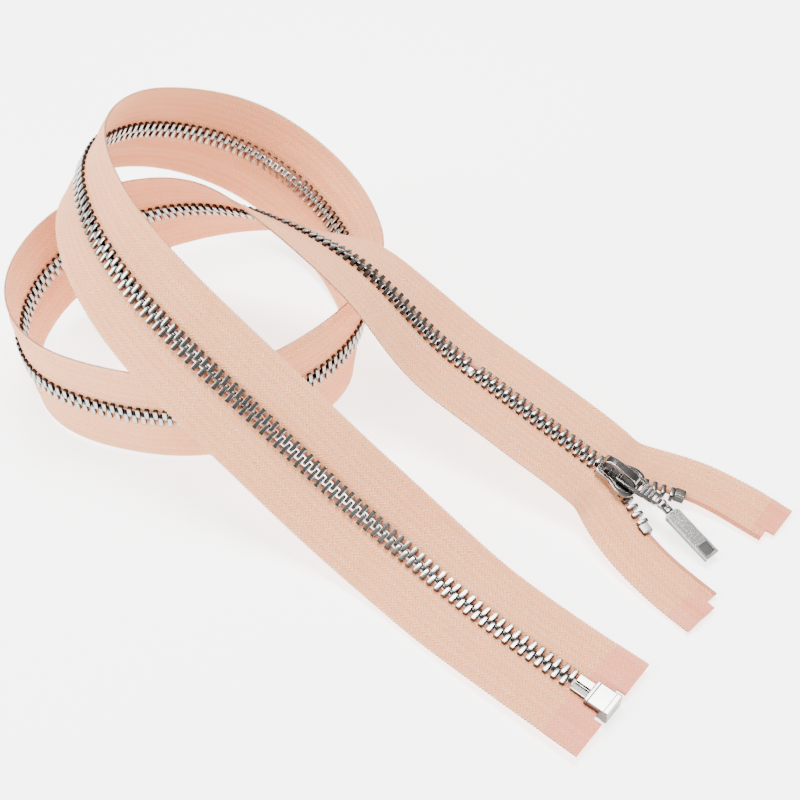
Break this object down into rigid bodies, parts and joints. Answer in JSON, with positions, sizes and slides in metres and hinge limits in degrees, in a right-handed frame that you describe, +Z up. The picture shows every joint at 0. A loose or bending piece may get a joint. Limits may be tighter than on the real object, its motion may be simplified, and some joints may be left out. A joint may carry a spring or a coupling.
{
  "type": "separating zipper",
  "caption": "Separating metal-toothed zipper, coiled on a table, with woven tapes, an automatic-lock slider, a hanging bar pull, a box and pins.",
  "frame": {"origin": "on the table the zipper lies on, under the middle of its bounding box", "axes": "+Z up from the table; +X to the right and +Y away, seen from the side where both ends of the zipper lie"},
  "size_m": [0.2229, 0.203, 0.073],
  "materials": {
    "tape": "woven polyester herringbone tape, matt",
    "film": "clear reinforcing film fused over the tape, satin",
    "teeth": "nickel-plated elements, polished crests",
    "end_metal": "nickel-plated, satin",
    "slider_metal": "dark nickel, polished",
    "pull_metal": "brushed nickel",
    "spring": "bare spring steel"
  },
  "bodies": {
    "closed_chain": {"left_tape": "tape", "right_tape": "tape", "left_tape_run": "tape", "right_tape_run": "tape", "left_teeth": "teeth", "right_teeth": "teeth", "left_teeth_run": "teeth", "right_teeth_run": "teeth", "left_film_box": "film", "right_film_box": "film", "box": "end_metal", "retainer_pin": "end_metal", "insertion_pin": "end_metal"},
    "left_top_end": {"left_tape_top": "tape", "left_teeth_top": "teeth", "left_stop": "teeth", "left_film_top": "film"},
    "right_top_end": {"right_tape_top": "tape", "right_teeth_top": "teeth", "right_stop": "teeth", "right_film_top": "film"},
    "slider": {"slider_body": "slider_metal", "slider_crown": "slider_metal"},
    "lock": {"lock_spring": "spring"},
    "link": {"pull_link": "slider_metal"},
    "ring": {"pull_ring": "slider_metal"},
    "bar": {"pull_bar": "pull_metal"}
  },
  "joints": [
    {"name": "slider_travel", "type": "slide", "parent": "closed_chain", "child": "slider", "axis": [-0.7641, 0.6078, 0.2164], "range_m": [0, 0.045], "deforming": ["left_tape_run", "left_teeth_run", "right_tape_run", "right_teeth_run"]},
    {"name": "left_top_swing", "type": "hinge", "parent": "closed_chain", "child": "left_top_end", "pos_m": [0.02498, 0.0096, 0.01719], "axis": [0, 0, -1], "range_deg": [0, 3.6], "deforming": ["left_tape_run", "left_teeth_run"]},
    {"name": "right_top_swing", "type": "hinge", "parent": "closed_chain", "child": "right_top_end", "pos_m": [0.02498, 0.0096, 0.01719], "axis": [0, 0, 1], "range_deg": [0, 9.1], "deforming": ["right_tape_run", "right_teeth_run"]},
    {"name": "lock_lift", "type": "slide", "parent": "slider", "child": "lock", "axis": [0.1694, -0.1347, 0.9763], "range_m": [0, 0.0005]},
    {"name": "link_swing", "type": "hinge", "parent": "slider", "child": "link", "pos_m": [0.06422, -0.02162, 0.00961], "axis": [-0.6225, -0.7826, 0], "range_deg": [0, 120]},
    {"name": "ring_swing", "type": "hinge", "parent": "link", "child": "ring", "pos_m": [0.07373, -0.02919, 0.00691], "axis": [-0.7228, -0.6904, 0.0301], "range_deg": [0, 30]},
    {"name": "bar_swing", "type": "hinge", "parent": "ring", "child": "bar", "pos_m": [0.07497, -0.0305, 0.00652], "axis": [-0.8187, -0.5707, 0.0633], "range_deg": [0, 40]}
  ],
  "couplings": [
    {"joint": "left_top_swing", "follows": "slider_travel", "rad_per_m": 1.3575},
    {"joint": "right_top_swing", "follows": "slider_travel", "rad_per_m": 3.4907}
  ]
}
